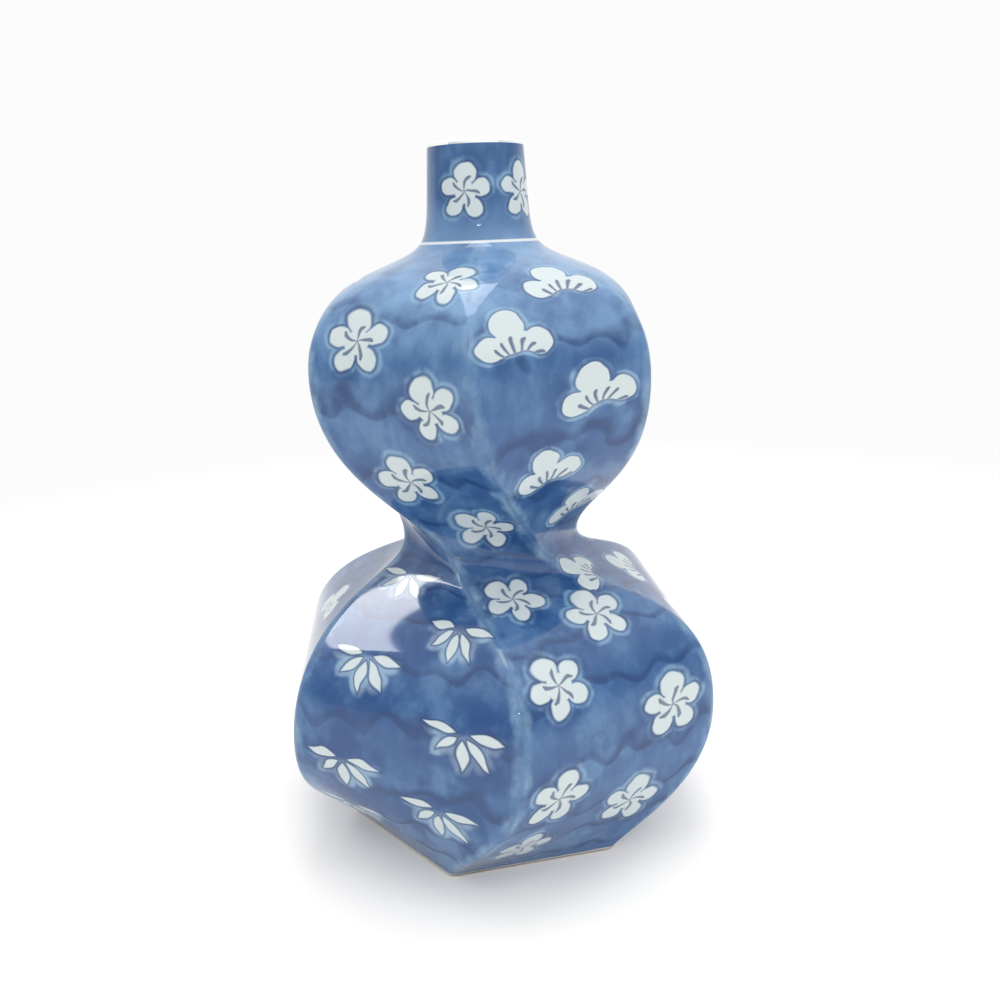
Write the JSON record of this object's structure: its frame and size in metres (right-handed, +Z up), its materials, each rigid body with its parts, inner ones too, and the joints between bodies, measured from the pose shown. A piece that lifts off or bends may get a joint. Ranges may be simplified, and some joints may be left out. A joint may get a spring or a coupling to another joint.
{
  "type": "double gourd vase",
  "caption": "Porcelain double gourd vase with twisted hexagonal sides, a round collar neck and a low foot, painted in blue and white.",
  "frame": {"origin": "centre of the foot on the table", "axes": "+Z up along the vase's axis, -Y towards the front of the picture, +X to its right"},
  "size_m": [0.1684, 0.1858, 0.27],
  "materials": {
    "blue_white_porcelain": "gloss",
    "bare_porcelain": "matt"
  },
  "bodies": {
    "root": {"foot_ring": "bare_porcelain", "lower_bulb": "blue_white_porcelain", "upper_bulb": "blue_white_porcelain", "neck": "blue_white_porcelain"}
  },
  "joints": []
}
